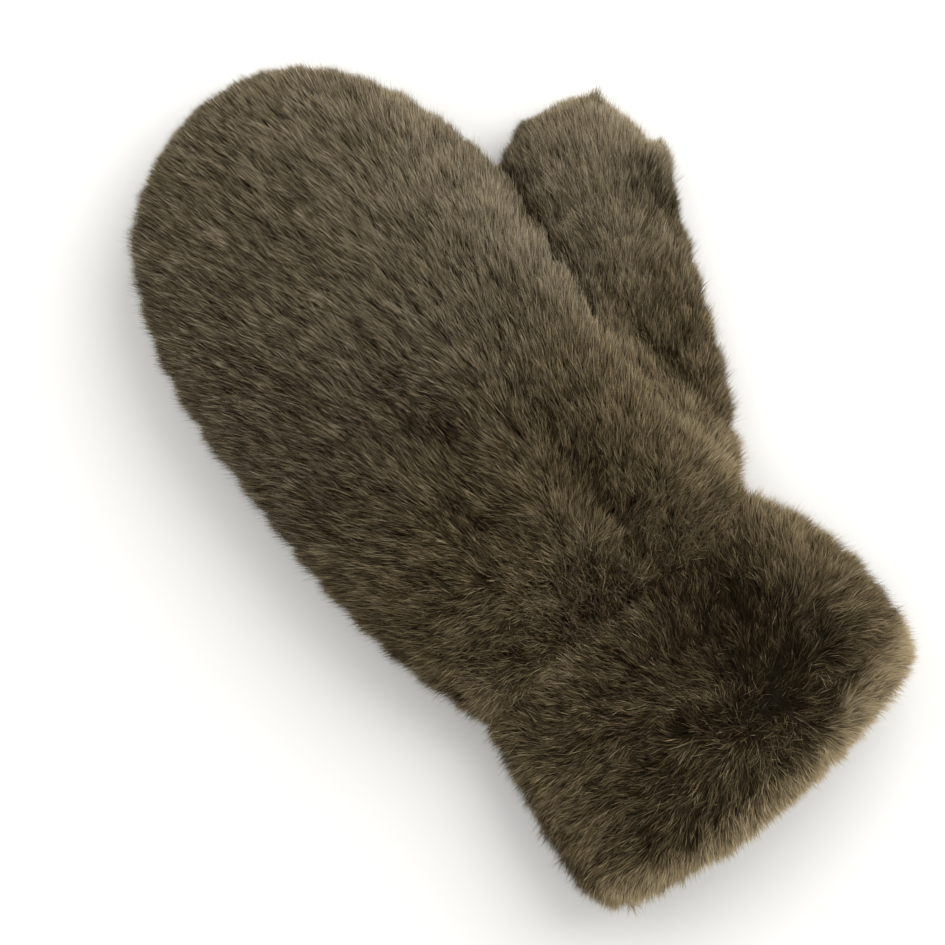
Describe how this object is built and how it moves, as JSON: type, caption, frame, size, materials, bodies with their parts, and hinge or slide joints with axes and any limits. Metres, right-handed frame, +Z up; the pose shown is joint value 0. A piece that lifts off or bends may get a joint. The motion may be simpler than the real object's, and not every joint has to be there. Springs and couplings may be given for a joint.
{
  "type": "fur mitten",
  "caption": "Long deep-pile fur mitten for the left hand, with a padded rounded hand, a splayed thumb and a flared cuff sewn on at a gathered wrist.",
  "frame": {"origin": "centre of the footprint, on the surface that the mitten rests on", "axes": "+Y from the cuff's mouth to the fingertips, +X to the thumb's side, +Z up from the palm through the back"},
  "size_m": [0.1834, 0.2984, 0.0534],
  "materials": {
    "fur": "matte deep pile",
    "cuff_fur": "matte deep pile, darker"
  },
  "bodies": {
    "root": {"hand_back": "fur", "hand_palm": "fur", "thumb": "fur", "cuff": "cuff_fur"}
  },
  "joints": []
}
